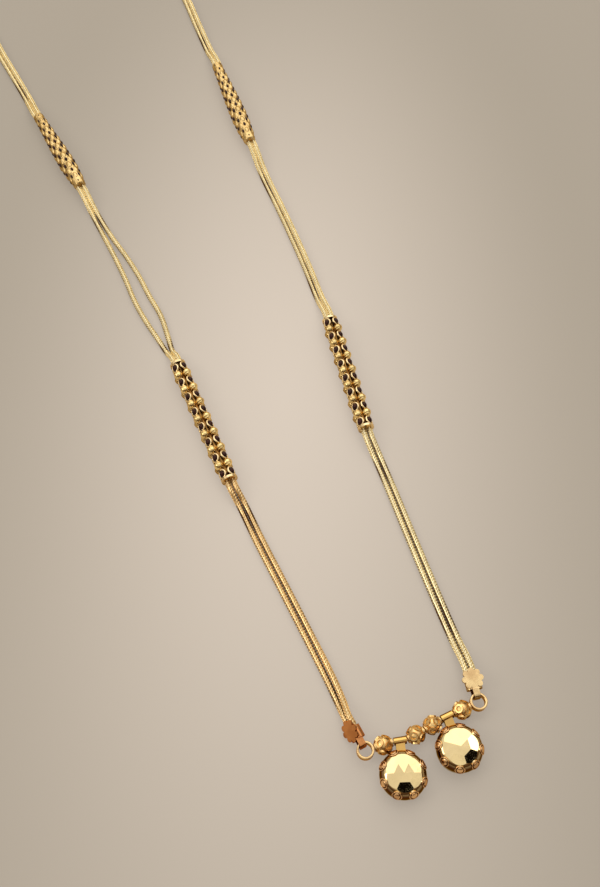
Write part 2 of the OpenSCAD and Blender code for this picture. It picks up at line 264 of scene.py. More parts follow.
def frame_at(place: Vector, along: Vector, outward: Vector) -> Matrix:
    """Work out the transform whose X runs along a string and whose Z points away from the tube's middle.

    Args:
        place: Where the copy goes.
        along: The string's direction.
        outward: The way that Z turns to, as far as it is square to along.

    Returns:
        A rotation and a translation.
    """
    x = along.normalized()
    z = (outward - outward.dot(x) * x).normalized()
    y = z.cross(x)
    turn = Matrix((x, y, z)).transposed().to_4x4()
    return Matrix.Translation(place) @ turn


def box_middle(places: np.ndarray) -> np.ndarray:
    """Give the middle of the box round some places."""
    return (places.min(0) + places.max(0)) / 2


def row_direction(places: np.ndarray) -> np.ndarray:
    """Find the direction in which some places lie in a row.

    Args:
        places: The places, one to a line.

    Returns:
        The direction, away from the pendants.
    """
    along = np.linalg.svd(places - places.mean(0))[2][0]
    return along if along[1] > 0 else -along


class Nodes:
    """A node tree that is filled one node after the other."""

    def __init__(self, tree: bpy.types.NodeTree) -> None:
        """Empty the tree.

        Args:
            tree: The tree to fill.
        """
        self.tree = tree
        self.tree.nodes.clear()

    def add(self, kind: str, inputs: dict[str | int, object] | None = None, **settings: object
            ) -> bpy.types.Node:
        """Add a node, set it up and feed its inputs.

        Args:
            kind: Blender's name for the node's type.
            inputs: Values or output sockets by the input's name or number.
            **settings: The node's own options.

        Returns:
            The new node.
        """
        node = self.tree.nodes.new(kind)
        for name, value in settings.items():
            setattr(node, name, value)
        for name, value in (inputs or {}).items():
            self.feed(node.inputs[name], value)
        return node

    def feed(self, socket: Socket, value: object) -> None:
        """Set a socket's value, or link it to an output.

        Args:
            socket: The input to set.
            value: A plain value or an output socket.
        """
        if isinstance(value, Socket):
            self.tree.links.new(value, socket)
        else:
            socket.default_value = value

    def upward(self, vector: Socket) -> Socket:
        """Take the Z of a vector."""
        return self.add("ShaderNodeSeparateXYZ", {"Vector": vector}).outputs["Z"]

    def product(self, first: Socket, second: Socket) -> Socket:
        """Multiply two values."""
        return self.add("ShaderNodeMath", {0: first, 1: second}, operation="MULTIPLY").outputs[0]

    def spread(self, value: Socket, low: float, high: float, to: Range = (0.0, 1.0)) -> Socket:
        """Map a range of a value smoothly to another range, held at its ends.

        Args:
            value: The value to map.
            low: What gives the first end.
            high: What gives the second end.
            to: The two ends.

        Returns:
            The mapped value.
        """
        node = self.add("ShaderNodeMapRange", {
            "Value": value, "From Min": low, "From Max": high, "To Min": to[0], "To Max": to[1]},
            interpolation_type="SMOOTHSTEP")
        return node.outputs["Result"]

    def blend(self, factor: Socket, first: object, second: object) -> Socket:
        """Mix two colours.

        Args:
            factor: 0 gives the first colour and 1 the second.
            first: A colour or an output socket.
            second: A colour or an output socket.

        Returns:
            The mixed colour.
        """
        node = self.add("ShaderNodeMix", data_type="RGBA")
        for index, value in zip(MIX_INPUTS, (factor, first, second)):
            self.feed(node.inputs[index], (*value, 1.0) if isinstance(value, tuple) else value)
        return node.outputs[MIX_RESULT]


class Shader(Nodes):
    """A material's nodes, with its surface shader in place."""

    def __init__(self, name: str) -> None:
        """Start a material.

        Args:
            name: The material's name.
        """
        self.material = bpy.data.materials.new(name)
        self.material.use_nodes = True
        super().__init__(self.material.node_tree)
        self.place = self.add("ShaderNodeTexCoord").outputs["Object"]
        self.surface = self.add("ShaderNodeBsdfPrincipled")
        self.add("ShaderNodeOutputMaterial", {"Surface": self.surface.outputs["BSDF"]})

    def finish(self, inputs: dict[str, object]) -> bpy.types.Material:
        """Feed the surface shader's sockets.

        Args:
            inputs: Values or output sockets by the socket's name.

        Returns:
            The finished material.
        """
        for name, value in inputs.items():
            self.feed(self.surface.inputs[name], value)
        return self.material

    def noise(self, scale: float, detail: float = 2.0) -> Socket:
        """Add a noise pattern on the piece's own coordinates.

        Args:
            scale: Blotches to the metre.
            detail: Blender's detail value.

        Returns:
            The pattern's value, about 0 to 1.
        """
        node = self.add("ShaderNodeTexNoise", {"Vector": self.place, "Scale": scale, "Detail": detail})
        return node.outputs["Fac"]

    def bump(self, scale: float, depth: float, strength: float) -> Socket:
        """Roughen the surface with fine noise.

        Args:
            scale: Bumps to the metre.
            depth: Their depth in millimetres.
            strength: Blender's strength value.

        Returns:
            The bumped normal.
        """
        node = self.add("ShaderNodeBump", {
            "Height": self.noise(scale), "Strength": strength, "Distance": depth * MM})
        return node.outputs["Normal"]


@dataclass(frozen=True)
class GoldFinish:
    """Gold with painted shade: darker, more red-brown metal low down and on faces turned away from above,
    standing in for shade and dark reflections.

    Its tone is deep below the height low and bright above the height high, as painted shade. The groove is a
    range of distances from the strand beside, where painted shade darkens the gap between two strands, and
    the girdle is a second, more orange tone below the height girdle_top, which leaves the crown paler as a
    painted highlight.
    """

    slot: Slot
    bright: Colour
    deep: Colour
    low: float
    high: float
    warm_share: float = 0.35
    gloss: Range = (0.1, 0.26)
    gloss_range: Range = (0.3, 0.7)
    gloss_rate: float = 3.0
    patches: float = 260.0
    patch_detail: float = 4.0
    patch_range: Range = (0.35, 0.62)
    ragged: float = 0.35
    shade_by_facing: Range = (-0.2, 0.5)
    grain: float = 5200.0
    grain_depth: float = 0.012
    grain_strength: float = 0.5
    groove: Range | None = None
    girdle: Colour | None = None
    girdle_top: Range = (3.7, 4.7)

    def material(self, name: str) -> bpy.types.Material:
        """Make the material.

        Args:
            name: The material's name.

        Returns:
            A metal whose tone, polish and fine grain vary over the piece.
        """
        shader = Shader(name)
        height = shader.upward(shader.place)
        patch = shader.noise(self.patches, self.patch_detail)
        swing = (self.high - self.low) * self.ragged * MM
        lift = shader.add("ShaderNodeMath", {0: patch, 1: 2.0 * swing, 2: height},
                          operation="MULTIPLY_ADD").outputs[0]
        facing = shader.upward(shader.add("ShaderNodeNewGeometry").outputs["Normal"])
        # Painted shade: this factor takes the deep tone low down and on faces turned away from above.
        step = shader.product(shader.spread(lift, self.low * MM + swing, self.high * MM + swing),
                              shader.spread(facing, *self.shade_by_facing))
        # Painted shade in the groove: darker near the middle line of the strand beside.
        if self.groove:
            beside = shader.add("ShaderNodeAttribute", attribute_name=GROOVE).outputs["Fac"]
            step = shader.product(step, shader.spread(beside, *self.groove))
        warm = tuple(b + self.warm_share * (d - b) for b, d in zip(self.bright, self.deep))
        tone = shader.blend(shader.spread(patch, *self.patch_range), warm, self.bright)
        # Painted highlight: the crown above girdle_top keeps the paler tone, and the shoulder below it turns
        # to the more orange girdle tone.
        if self.girdle:
            crown = shader.spread(height, *(edge * MM for edge in self.girdle_top))
            tone = shader.blend(crown, self.girdle, tone)
        polish = shader.noise(self.gloss_rate * self.patches)
        return shader.finish({
            "Base Color": shader.blend(step, self.deep, tone),
            "Roughness": shader.spread(polish, *self.gloss_range, self.gloss),
            "Metallic": 1.0,
            "Specular Tint": (*self.bright, 1.0),
            "Normal": shader.bump(self.grain, self.grain_depth, self.grain_strength)})


@dataclass(frozen=True)
class BlackBeadFinish:
    """Polished black glass with a faint warm cast and a few dull spots."""

    slot: Slot = Slot.BLACK
    tone: Colour = (0.022, 0.006, 0.004)
    warm: Colour = (0.050, 0.013, 0.008)
    sheen: Colour = (1.0, 0.62, 0.50)
    sheen_level: float = 0.2
    coat: float = 0.06
    coat_roughness: float = 0.04
    patches: float = 900.0
    patch_range: Range = (0.4, 0.7)
    gloss: Range = (0.06, 0.24)
    gloss_range: Range = (0.35, 0.7)
    dimples: float = 2600.0
    dimple_depth: float = 0.01
    dimple_strength: float = 0.3

    def material(self, name: str) -> bpy.types.Material:
        """Make the material.

        Args:
            name: The material's name.

        Returns:
            A dark, glossy glass.
        """
        shader = Shader(name)
        patch = shader.noise(self.patches)
        return shader.finish({
            "Base Color": shader.blend(shader.spread(patch, *self.patch_range), self.tone, self.warm),
            "Roughness": shader.spread(patch, *self.gloss_range, self.gloss),
            "Specular IOR Level": self.sheen_level,
            "Specular Tint": (*self.sheen, 1.0),
            "Coat Weight": self.coat,
            "Coat Roughness": self.coat_roughness,
            "Normal": shader.bump(self.dimples, self.dimple_depth, self.dimple_strength)})


# Each gold's deep tone is painted shade and painted dark reflection, low down and on faces turned away from
# above; the cups' girdle leaves their crowns paler as a painted highlight.
CUP_GOLD = GoldFinish(Slot.POLISHED, (1.0, 0.76, 0.37), (0.10, 0.028, 0.011), 0.6, 4.4, warm_share=0.12,
                      gloss=(0.03, 0.09), ragged=0.2, shade_by_facing=(0.5, 0.92), grain=2600.0, grain_depth=0.003,
                      girdle=(1.0, 0.60, 0.17))
FITTING_GOLD = GoldFinish(Slot.POLISHED, (1.0, 0.70, 0.32), (0.30, 0.09, 0.025), 0.3, 2.4)
BOSS_GOLD = GoldFinish(Slot.POLISHED, (1.0, 0.62, 0.29), (0.26, 0.09, 0.035), 1.6, 4.4, gloss=(0.14, 0.26))
PLATE_GOLD = GoldFinish(Slot.POLISHED, (0.72, 0.52, 0.25), (0.26, 0.08, 0.02), 0.3, 2.4)
# A darker, more red-brown copy of the plate gold for the left flower cap: painted shade, as that cap is
# turned away from the light.
SHADED_PLATE_GOLD = GoldFinish(Slot.POLISHED, (0.70, 0.30, 0.10), (0.26, 0.07, 0.02), 0.3, 2.4)
CARVED_GOLD = GoldFinish(Slot.CARVED, (0.94, 0.64, 0.26), (0.46, 0.18, 0.04), 0.6, 3.2, patches=420.0,
                         gloss=(0.24, 0.4), shade_by_facing=(-0.5, 0.3), grain=3600.0, grain_depth=0.02)
# The chain gold paints shade in the groove between a pair's two strands, by each vertex's distance from the
# strand beside.
CHAIN_GOLD = GoldFinish(Slot.CHAIN, (1.0, 0.86, 0.52), (0.10, 0.035, 0.005), 0.75, 1.2, warm_share=0.1,
                        gloss=(0.24, 0.4), ragged=0.1, shade_by_facing=(-0.8, -0.2), groove=(0.98, 1.27))
# A darker, warmer copy of the chain gold for the left lower pair: painted shade on that side.
SHADED_CHAIN_GOLD = replace(CHAIN_GOLD, bright=(0.95, 0.69, 0.34))
# The same chain gold without the groove's painted shade, a little paler.
CHAIN_GOLD_WITHOUT_GROOVE_SHADE = replace(CHAIN_GOLD, bright=(1.0, 0.84, 0.48), groove=None)
TUBE_GOLD = GoldFinish(Slot.WIRE, (1.0, 0.77, 0.42), (0.34, 0.18, 0.045), 0.8, 3.2, gloss=(0.12, 0.28),
                       shade_by_facing=(-0.6, 0.2))
SPINDLE_GOLD = GoldFinish(Slot.WIRE, (0.80, 0.57, 0.25), (0.40, 0.22, 0.05), 0.8, 2.8, gloss=(0.26, 0.4),
                          shade_by_facing=(-0.5, 0.25))
BEAD_GOLD = GoldFinish(Slot.CARVED, (1.0, 0.75, 0.33), (0.34, 0.18, 0.04), 0.8, 3.2, gloss=(0.14, 0.3),
                       shade_by_facing=(-0.6, 0.2), grain=3000.0, grain_depth=0.03)
# The inner rod's dark brown gold is painted shade for the gaps between the strings.
SHADED_ROD_GOLD = GoldFinish(Slot.WIRE, (0.42, 0.22, 0.06), (0.10, 0.04, 0.012), 1.2, 3.2, gloss=(0.3, 0.45))
BLACK_GLASS = BlackBeadFinish()
Finish = GoldFinish | BlackBeadFinish


class Necklace:
    """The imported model's nodes, with the finishes that dress them and the new pieces."""

    def __init__(self, nodes: dict[str, Piece]) -> None:
        """Keep the nodes and start with no materials.

        Args:
            nodes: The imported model's objects by name.
        """
        self.nodes = nodes
        self.materials: dict[Finish, bpy.types.Material] = {}

    def finish(self, wanted: Finish) -> bpy.types.Material:
        """Give a finish's material, made once.

        Args:
            wanted: The finish.

        Returns:
            Its material.
        """
        if wanted not in self.materials:
            self.materials[wanted] = wanted.material(f"{wanted.slot.value}_{len(self.materials) + 1}")
        return self.materials[wanted]

    def dress(self, name: str, finish: Finish) -> None:
        """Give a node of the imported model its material.

        Args:
            name: The node's name.
            finish: What it is finished with.
        """
        piece = self.nodes[name]
        for slot in piece.material_slots:
            slot.material = self.finish(finish)
        LOG.info("%s keeps its solid", name)

    def fit(self, piece: Piece, finish: Finish, replaced: Sequence[str] = ()) -> None:
        """Dress a new piece and fasten it to the necklace, with its underside flat on the floor.

        Args:
            piece: The new object.
            finish: What it is finished with.
            replaced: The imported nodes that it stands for.
        """
        reshape(piece, lambda place: Vector((place.x, place.y, max(place.z, 0.0))))
        piece.data.materials.clear()
        piece.data.materials.append(self.finish(finish))
        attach(piece, BODY)
        if replaced:
            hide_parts(*replaced)
        LOG.info("%s: %d faces", piece.name, len(piece.data.polygons))

    def points(self, name: str) -> tuple[np.ndarray, np.ndarray]:
        """Read a node's mesh with its doubled vertices taken together.

        Args:
            name: The node's name.

        Returns:
            The places of the vertices, and the three vertices of each triangle.
        """
        mesh = self.nodes[name].data
        mesh.calc_loop_triangles()
        places = np.array([v.co for v in mesh.vertices])
        corners = np.array([t.vertices for t in mesh.loop_triangles])
        _, first, same = np.unique(np.round(places / SAME_PLACE), axis=0, return_index=True,
                                   return_inverse=True)
        return places[first], same.reshape(-1)[corners]

    def loose_centres(self, name: str) -> list[Vector]:
        """Find the middle of each loose solid in a node.

        Args:
            name: The node's name.

        Returns:
            The middles of their boxes.
        """
        places, corners = self.points(name)
        group = np.arange(len(places))
        while True:
            least = group[corners].min(axis=1)
            spread = group.copy()
            for corner in range(3):
                np.minimum.at(spread, corners[:, corner], least)
            spread = spread[spread]
            if (spread == group).all():
                break
            group = spread
        return [Vector(box_middle(places[group == one])) for one in np.unique(group)]

    @staticmethod
    def rings(near: Sequence[set[int]], start: set[int]) -> list[set[int]]:
        """Group a mesh's vertices by how many edges they are from the start.

        Args:
            near: The neighbours of each vertex.
            start: The vertices of the first group.

        Returns:
            The groups, from the start onwards.
        """
        seen, rings = set(start), [set(start)]
        while rings[-1]:
            rings.append(set().union(*(near[v] for v in rings[-1])) - seen)
            seen |= rings[-1]
        return rings[:-1]

    def tube_line(self, name: str, end_reach: float) -> list[Vector]:
        """Find the middle line of a swept tube, from the end nearest the pendants.

        Args:
            name: The node's name.
            end_reach: What lies nearer than this to the tube's tip is its end.

        Returns:
            The middle of each of its rings.
        """
        places, corners = self.points(name)
        near: list[set[int]] = [set() for _ in places]
        for a, b, c in corners:
            near[a] |= {b, c}
            near[b] |= {a, c}
            near[c] |= {a, b}
        tip = next(iter(self.rings(near, {0})[-1]))
        reach = np.linalg.norm(places - places[tip], axis=1)
        rings = self.rings(near, set(np.flatnonzero(reach < end_reach)))
        line = [Vector(places[sorted(ring)].mean(0)) for ring in rings]
        return line if line[0].y < line[-1].y else line[::-1]


@dataclass
class FoxtailLink:
    """One link of a loop-in-loop chain: a ring folded double, so that its ends are two loops.

    The next link passes through both loops. The chain runs along X, and the link's flat side looks along Z.
    """

    wire: float = 0.3
    flat: float = 1.5
    pitch: float = 0.86
    reach: float = 1.3
    fold: float = 1.7
    spread: float = 1.35
    tuck: float = 1.19
    height: float = 0.92
    pinch: float = 0.84
    pinch_rate: float = 0.66
    round_off: float = 0.25
    tip: float = 1e-6
    probe: float = 0.05
    faces: Faces = (20, 6)

    def centre(self, angle: float) -> Vector:
        """Give a point of the wire's middle line.

        Args:
            angle: The way round the ring, from the tip of one loop.

        Returns:
            The point, in metres.
        """
        c, s = math.cos(angle), math.sin(angle)
        out, rise = abs(c), abs(s)
        across = math.copysign(self.spread * out - self.tuck * out ** 3, c)
        narrow = 1.0 - self.pinch * (1.0 - out) ** self.pinch_rate
        through = math.copysign(self.height * rise ** self.round_off * narrow, s) if rise > self.tip else 0.0
        return Vector((self.reach * out ** self.fold, across, through)) * MM

    def bent(self, place: Vector) -> Vector:
        """Carry a point of the plain ring over to the folded link.

        Args:
            place: A point of the torus that the link is made from.

        Returns:
            The same point of the link.
        """
        angle = math.atan2(place.y, place.x)
        centre = self.centre(angle)
        ahead = (self.centre(angle + self.probe) - self.centre(angle - self.probe)).normalized()
        outward = Vector((0.0, centre.y, centre.z))
        outward = (outward - outward.dot(ahead) * ahead).normalized()
        beside = ahead.cross(outward)
        lift = math.hypot(place.x, place.y) - MM
        return centre + lift * outward + self.flat * place.z * beside

    def model(self) -> Piece:
        """Model the link once.

        Returns:
            The link, with the chain running along X.
        """
        link = ring(1.0, self.wire, self.faces)
        reshape(link, self.bent)
        with edit_mode():
            bpy.ops.mesh.normals_make_consistent(inside=False)
        bpy.ops.object.shade_smooth()
        return link


@dataclass
class ChainStrand:
    """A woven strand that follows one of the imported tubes."""

    node: str
    width: float = 1.66
    end_widths: float = 1.1
    roll: float = 45.0
    route_steps: int = 16
    core: float = 1.36
    core_shade: float = 1.29
    core_steps: int = 3
    core_rounding: int = 1

    def finish(self) -> GoldFinish:
        """Choose the strand's gold: only the lower pairs get painted shade in their groove, and the left pair
        takes a darker, warmer copy as painted shade.
        """
        if "_lower_" not in self.node:
            return CHAIN_GOLD_WITHOUT_GROOVE_SHADE
        return SHADED_CHAIN_GOLD if self.node.startswith(Side.LEFT.value) else CHAIN_GOLD

    def neighbour(self) -> str:
        """Name the strand that lies beside this one."""
        pair = ("_outer_", "_inner_") if "_outer_" in self.node else ("_inner_", "_outer_")
        return self.node.replace(*pair)

    def middle_line(self, necklace: Necklace, node: str) -> list[Vector]:
        """Read the middle line of a packed strand."""
        return necklace.tube_line(node, self.end_widths * (self.width * MM))

    def shade_groove(self, chain: Piece, neighbour: Sequence[Vector], first_core: int) -> None:
        """Write how far each vertex is from the other strand's middle line, in millimetres, for the painted
        shade in the groove.

        The core gets a low value all over, so that painted shade makes it as dark as the gaps between crowded
        wires.

        Args:
            chain: The woven strand.
            neighbour: The middle line of the strand beside it.
            first_core: The number of the core's first vertex.
        """
        places = np.array([v.co for v in chain.data.vertices])
        nearest = np.full(len(places), np.inf)
        for start, end in zip(neighbour, neighbour[1:]):
            start, way = np.array(start), np.array(end - start)
            share = np.clip((places - start) @ way / (way @ way), 0.0, 1.0)
            apart = np.linalg.norm(places - start - np.outer(share, way), axis=1)
            nearest = np.minimum(nearest, apart)
        # Painted shade on the core, as dark as near the strand beside.
        nearest[first_core:] = np.minimum(nearest[first_core:], self.core_shade * MM)
        beside = chain.data.attributes.new(GROOVE, "FLOAT", "POINT")
        beside.data.foreach_set("value", nearest / MM)

    def route(self, line: Sequence[Vector], steps: int) -> Piece:
        """Draw the strand's smooth middle line.

        Args:
            line: The points that it passes through.
            steps: How many straight pieces there are between two of them.

        Returns:
            A curve object.
        """
        curve = bpy.data.curves.new(self.node + "_route", "CURVE")
        curve.dimensions = "3D"
        curve.twist_mode = "Z_UP"
        curve.resolution_u = steps
        spline = curve.splines.new("BEZIER")
        spline.bezier_points.add(len(line) - 1)
        for knot, place in zip(spline.bezier_points, line):
            knot.co = place
            knot.handle_left_type = knot.handle_right_type = "AUTO"
            knot.tilt = math.radians(self.roll)
        return linked(curve.name, curve)

    def build(self, necklace: Necklace, link: Piece, pitch: float) -> None:
        """Lay links along the strand's line, with one core for the crowd of wires in their middle.

        Args:
            necklace: What the strand is part of.
            link: The link that was modelled once.
            pitch: The way from one link to the next, in millimetres.
        """
        line = self.middle_line(necklace, self.node)
        route = self.route(line, self.route_steps)
        bpy.context.view_layer.update()
        chain = linked(self.node + "_links", link.data.copy())
        apply_modifier(chain, "ARRAY", fit_type="FIT_CURVE", curve=route, use_relative_offset=False,
                       use_constant_offset=True, constant_offset_displace=(pitch * MM, 0.0, 0.0))
        apply_modifier(chain, "CURVE", object=route, deform_axis="POS_X")
        discard(route)
        core = self.route(line, self.core_steps)
        core.data.bevel_depth = self.core / 2 * MM
        core.data.bevel_resolution = self.core_rounding
        core.data.use_fill_caps = True
        activate(core)
        bpy.ops.object.convert(target="MESH")
        first_core = len(chain.data.vertices)
        chain = merged(chain.name, [chain, core])
        finish = self.finish()
        if finish.groove:
            self.shade_groove(chain, self.middle_line(necklace, self.neighbour()), first_core)
        necklace.fit(chain, finish, [self.node])


@dataclass
class LowerTube:
    """Four strings of black and gold beads, each black bead in its own eye of wire."""

    side: Side
    black_width: float = 1.75
    black_length: float = 2.15
    black_faces: Faces = (16, 12)
    eye_width: float = 2.85
    eye_length: float = 3.4
    eye_wire: float = 0.5
    eye_lift: float = 0.2
    eye_point: float = 1.25
    eye_bow: float = 0.16
    eye_faces: Faces = (28, 8)
    gold_width: float = 2.85
    gold_length: float = 2.7
    gold_inset: Range = (0.1, 0.16)
    gold_faces: Faces = (14, 10)
    coil_wire: float = 0.6
    coil_lean: float = 0.3
    coil_faces: Faces = (18, 6)
    coils: tuple[Range, ...] = ((-0.62, 0.82), (0.0, 1.0), (0.62, 0.82))
    rod: float = 2.2
    rod_sides: int = 16
    rod_edge: float = 0.2

    def black_bead(self) -> Piece:
        """Model a long black bead, its bore along X."""
        return ball((self.black_length, self.black_width, self.black_width), self.black_faces)

    def almond(self, place: Vector) -> Vector:
        """Draw a ring out to points at its ends and let its sides follow the tube's round.

        Args:
            place: A point of the torus that the eye is made from.

        Returns:
            The same point of the eye.
        """
        angle = math.atan2(place.y, place.x)
        lift = math.hypot(place.x, place.y) / MM - 1.0
        c, s = math.cos(angle), math.sin(angle)
        x = ((self.eye_length - self.eye_wire) / 2 + lift) * c
        y = ((self.eye_width - self.eye_wire) / 2 + lift) * math.copysign(abs(s) ** self.eye_point, s)
        return Vector((x, y, place.z / MM - self.eye_bow * y * y)) * MM

    def eye(self) -> Piece:
        """Model the almond of wire that stands round a black bead.

        Returns:
            The eye, its length along X and its open side up.
        """
        eye = ring(1.0, self.eye_wire, self.eye_faces)
        reshape(eye, self.almond)
        return eye

    def gold_bead(self) -> Piece:
        """Model a gold bead wound from a ball and three turns of wire.

        Returns:
            The bead, its bore along X.
        """
        length, width = self.gold_length - self.gold_inset[0], self.gold_width - self.gold_inset[1]
        parts = [ball((length, width, width), self.gold_faces)]
        for shift, share in self.coils:
            parts.append(ring(
                (self.gold_width * share - self.coil_wire) / 2, self.coil_wire, self.coil_faces,
                location=(shift * MM, 0.0, 0.0), rotation=(0.0, math.pi / 2, self.coil_lean)))
        return merged("gold_bead_master", parts)

    def inner_rod(self, middle: Vector, along: Vector, beads: Sequence[Vector]) -> Piece:
        """Model the rod inside the tube that the strings lie round.

        Args:
            middle: A point on the tube's middle line.
            along: The line's direction.
            beads: The middles of all its beads.

        Returns:
            The rod, a little shorter than the strings.
        """
        reach = max(abs((bead - middle).dot(along)) for bead in beads)
        deselect()
        bpy.ops.mesh.primitive_cylinder_add(vertices=self.rod_sides, radius=self.rod / 2 * MM,
                                            depth=2.0 * reach, end_fill_type="TRIFAN", location=middle,
                                            rotation=along.to_track_quat("Z", "Y").to_euler())
        bpy.ops.object.transform_apply(location=True, rotation=True, scale=False)
        rod = bpy.context.object
        rod.name = f"{self.side.value}_tube_rod"
        soften(rod, self.rod_edge, 2)
        return rod

    def build(self, necklace: Necklace) -> None:
        """Model the tube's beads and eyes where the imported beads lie, each with its top turned outwards.

        Args:
            necklace: What the tube is part of.
        """
        name = self.side.value
        black = necklace.loose_centres(f"{name}_black_beads")
        gold = necklace.loose_centres(f"{name}_gold_beads")
        row = np.array(black + gold)
        middle, along = Vector(row.mean(0)), Vector(row_direction(row))
        for piece, master, beads, lift, finish, replaced in (
            ("black_glass", self.black_bead(), black, 0.0, BLACK_GLASS, [f"{name}_black_beads"]),
            ("wire_eyes", self.eye(), black, self.eye_lift, TUBE_GOLD, []),
            ("wound_beads", self.gold_bead(), gold, 0.0, BEAD_GOLD, [f"{name}_gold_beads"]),
        ):
            places = []
            for bead in beads:
                out = bead - middle - (bead - middle).dot(along) * along
                places.append(frame_at(bead + lift * MM * out.normalized(), along, out))
            necklace.fit(scattered(f"{name}_tube_{piece}", master, places), finish, replaced)
        # The rod is painted dark, as shade between the strings.
        necklace.fit(self.inner_rod(middle, along, black + gold), SHADED_ROD_GOLD)
        necklace.dress(f"{name}_tube_frame", TUBE_GOLD)


@dataclass(frozen=True)
class Spindle:
    """The middle line and the outline of a packed upper tube, in metres."""

    start: Vector
    along: Vector
    stations: list[float]
    radii: list[float]

    def radius(self, way: float) -> float:
        """Give the outline's radius at a distance along the line."""
        return float(np.interp(way, self.stations, self.radii))

    def under_skin(self, way: float, angle: float, sunk: float) -> tuple[Vector, Vector]:
        """Give a point under the tube's skin.

        Args:
            way: Its distance along the line.
            angle: Its angle round the line.
            sunk: Its depth in millimetres.

        Returns:
            The point, and the way out of the tube there.
        """
        side = self.along.cross(UP).normalized()
        out = math.cos(angle) * side + math.sin(angle) * side.cross(self.along)
        return self.start + way * self.along + (self.radius(way) - sunk * MM) * out, out


@dataclass(frozen=True)
class FineBead:
    """A bead of the upper tubes, and how deep its middle lies under their skin."""

    length: float
    width: float
    sink: float
    flatness: float = 0.9
    faces: Faces = (12, 8)

    def model(self) -> Piece:
        """Model the bead, its length along X."""
        return ball((self.length, self.width, self.width * self.flatness), self.faces)


@dataclass
class UpperTube:
    """A spindle of strings of fine gold and black beads, by turns, on a gold core."""

    side: Side
    strings: int = 10
    row_pitch: float = 2.75
    black: FineBead = FineBead(2.0, 1.05, 0.5)
    gold: FineBead = FineBead(3.6, 2.0, 0.9)
    widest: float = 3.0
    outline_reach: float = 0.2
    core_sides: int = 16
    core_parts: int = 10
    core_sink: float = 0.5
    core_edge: float = 0.4

    def spindle(self, necklace: Necklace) -> Spindle:
        """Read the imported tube's middle line and outline.

        Args:
            necklace: What the tube is part of.

        Returns:
            The tube's spindle, with a radius every tenth of a millimetre where its mesh has vertices.
        """
        places, _ = necklace.points(f"{self.side.value}_upper_tube")
        middle, along = box_middle(places), row_direction(places)
        way = (places - middle) @ along
        out = np.linalg.norm(places - middle - np.outer(way, along), axis=1)
        marks = np.unique(np.round(way / MM, 1))
        return Spindle(Vector(middle + along * way.min()), Vector(along),
                       [float(mark - marks[0]) * MM for mark in marks],
                       [float(out[np.abs(way / MM - mark) < self.outline_reach].max()) for mark in marks])

    def build(self, necklace: Necklace) -> None:
        """Model the tube's beads and its core.

        Args:
            necklace: What the tube is part of.
        """
        spindle = self.spindle(necklace)
        length = spindle.stations[-1]
        rows = round(length / (self.row_pitch * MM))
        spots: dict[FineBead, list[Matrix]] = {self.black: [], self.gold: []}
        for string in range(self.strings):
            angle = math.tau * (string + 0.5) / self.strings
            for row in range(rows):
                way = (row + 0.5) * length / rows
                bead = (self.black, self.gold)[(row + string) % 2]
                place, out = spindle.under_skin(way, angle, bead.sink)
                squeeze = Matrix.Diagonal((1.0, spindle.radius(way) / (self.widest * MM), 1.0, 1.0))
                spots[bead].append(frame_at(place, spindle.along, out) @ squeeze)
        name = self.side.value + "_spindle_{}_beads"
        black = scattered(name.format("black"), self.black.model(), spots[self.black])
        necklace.fit(black, BLACK_GLASS)
        gold = scattered(name.format("gold"), self.gold.model(), spots[self.gold])
        necklace.fit(merged(gold.name, [gold, self.core(spindle)]), SPINDLE_GOLD,
                     [f"{self.side.value}_upper_tube"])

    def on_core(self, spindle: Spindle, place: Vector) -> Vector:
        """Carry a point of a plain cylinder over to the tube's core.

        Args:
            spindle: The tube's middle line and outline.
            place: A point of the cylinder, which is a metre long and stands round the origin.

        Returns:
            The same point of the core.
        """
        share = place.z + 0.5
        way = share * spindle.stations[-1]
        if math.hypot(place.x, place.y) < 0.5 * MM:
            return spindle.start + way * spindle.along
        sunk = self.core_sink * math.sqrt(max(0.0, math.sin(math.pi * share)))
        return spindle.under_skin(way, math.atan2(place.y, place.x), sunk)[0]

    def core(self, spindle: Spindle) -> Piece:
        """Model the core that the strings lie on, which comes up to the tube's skin at its ends.

        Args:
            spindle: The tube's middle line and outline.

        Returns:
            The core.
        """
        deselect()
        bpy.ops.mesh.primitive_cylinder_add(vertices=self.core_sides, radius=MM, depth=1.0,
                                            end_fill_type="TRIFAN")
        core = bpy.context.object
        with edit_mode():
            for cut in range(1, self.core_parts):
                bpy.ops.mesh.bisect(plane_co=(0.0, 0.0, cut / self.core_parts - 0.5), plane_no=UP)
                bpy.ops.mesh.select_all(action="SELECT")
        reshape(core, lambda place: self.on_core(spindle, place))
        soften(core, self.core_edge, 3)
        return core


@dataclass
class Fittings:
    """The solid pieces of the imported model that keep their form."""

    cups: tuple[str, ...] = ("vati_left", "vati_right")
    beads: tuple[str, ...] = ("bead_1", "bead_2", "bead_3", "bead_4")
    plain: tuple[str, ...] = ("bar_wire", "back_cap_left", "back_cap_right", "clasp_hook")
    plates: tuple[str, ...] = ("flower_cap_right",)
    # The left flower cap takes the darker copy of the plate gold as painted shade.
    shaded_plates: tuple[str, ...] = ("flower_cap_left",)

    def build(self, necklace: Necklace) -> None:
        """Dress each solid with its finish.

        Args:
            necklace: What they are part of.
        """
        for names, finish in ((self.cups, CUP_GOLD), (self.beads, CARVED_GOLD), (self.plain, FITTING_GOLD),
                              (self.plates, PLATE_GOLD), (self.shaded_plates, SHADED_PLATE_GOLD)):
            for name in names:
                necklace.dress(name, finish)


